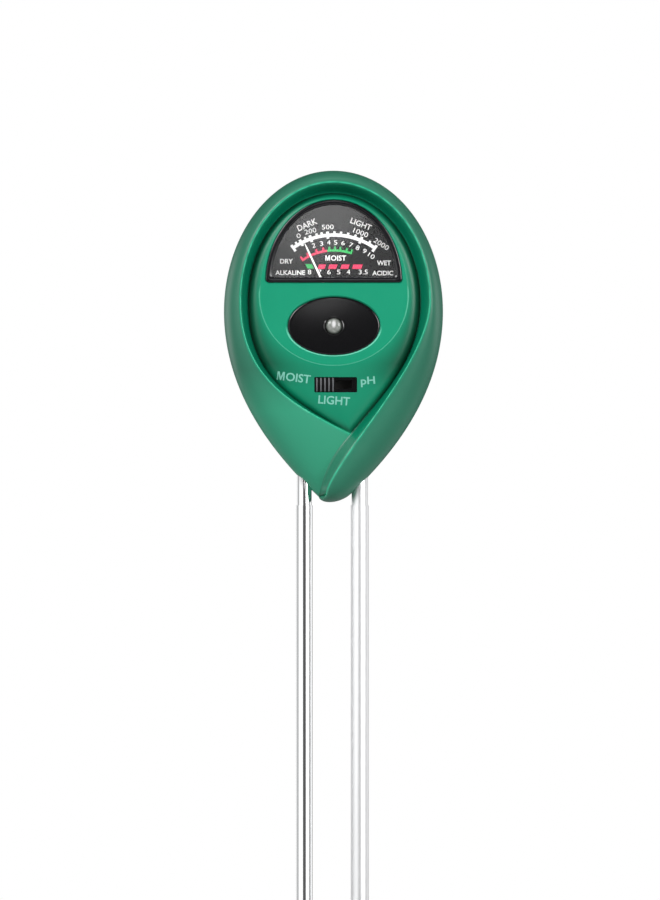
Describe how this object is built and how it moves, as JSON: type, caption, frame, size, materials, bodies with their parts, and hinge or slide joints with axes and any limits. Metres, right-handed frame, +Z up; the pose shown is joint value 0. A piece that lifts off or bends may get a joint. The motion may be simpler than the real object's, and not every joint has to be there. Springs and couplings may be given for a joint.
{
  "type": "soil moisture meter",
  "caption": "Hand soil meter: leaf-shaped green head with a needle dial, a light sensor and a slide switch, on two straight metal probes that push into the soil.",
  "frame": {"origin": "in the parting plane of the two shells, on the head's centre line, level with the lowest tip of the head, where the probes enter the soil", "axes": "+Z up along the probes towards the head, the dial faces -Y, +X to the right of someone who reads the dial"},
  "size_m": [0.0632, 0.0295, 0.2907],
  "materials": {
    "shell_green": "satin moulded ABS",
    "black_gloss": "polished black moulding",
    "black_matte": "fine textured black moulding",
    "clear_window": "clear polystyrene",
    "clear_lens": "clear acrylic",
    "dial_print": "matt black with printed scales",
    "needle_white": "white paint",
    "spindle_steel": "polished",
    "former_aluminium": "plain",
    "winding_copper": "enamelled copper wire",
    "spring_bronze": "phosphor bronze strip",
    "magnet_grey": "ground magnet alloy",
    "ring_iron": "soft iron",
    "bridge_brass": "stamped brass",
    "cell_face": "cadmium sulphide cell",
    "slider_plastic": "natural nylon",
    "base_board": "black phenolic board",
    "circuit_green": "solder mask",
    "screw_steel": "zinc plated",
    "probe_bright": "bright drawn metal",
    "probe_satin": "bright drawn metal",
    "clip_brass": "tinned brass",
    "lead_red": "red PVC insulation",
    "lead_black": "black PVC insulation"
  },
  "bodies": {
    "case": {"front_shell": "shell_green", "rear_shell": "shell_green", "meter_bezel": "black_gloss", "meter_window": "clear_window", "dial_plate": "dial_print", "dial_screws": "screw_steel", "meter_housing": "black_matte", "front_hairspring": "spring_bronze", "rear_hairspring": "spring_bronze", "core_magnet": "magnet_grey", "iron_ring": "ring_iron", "front_bridge": "bridge_brass", "rear_bridge": "bridge_brass", "bearing_screws": "bridge_brass", "sensor_plate": "black_gloss", "sensor_lens": "clear_lens", "light_cell": "cell_face", "switch_housing": "black_matte", "switch_base": "base_board", "circuit_board": "circuit_green", "board_screws": "screw_steel", "left_probe": "probe_bright", "right_probe": "probe_satin", "left_collar": "black_matte", "right_collar": "black_matte", "probe_clips": "clip_brass", "red_leads": "lead_red", "black_leads": "lead_black", "case_screws": "screw_steel"},
    "needle": {"needle": "needle_white", "needle_spindle": "spindle_steel", "coil_former": "former_aluminium", "coil_winding": "winding_copper"},
    "switch": {"switch_knob": "black_matte", "switch_slider": "slider_plastic"}
  },
  "joints": [
    {"name": "needle_swing", "type": "hinge", "parent": "case", "child": "needle", "pos_m": [0.0001, 0, 0.0566], "axis": [0, 1, 0], "range_deg": [-8, 60], "stiffness_Nm_per_rad": 0.0002},
    {"name": "switch_slide", "type": "slide", "parent": "case", "child": "switch", "axis": [1, 0, 0], "range_m": [0, 0.0062]}
  ]
}
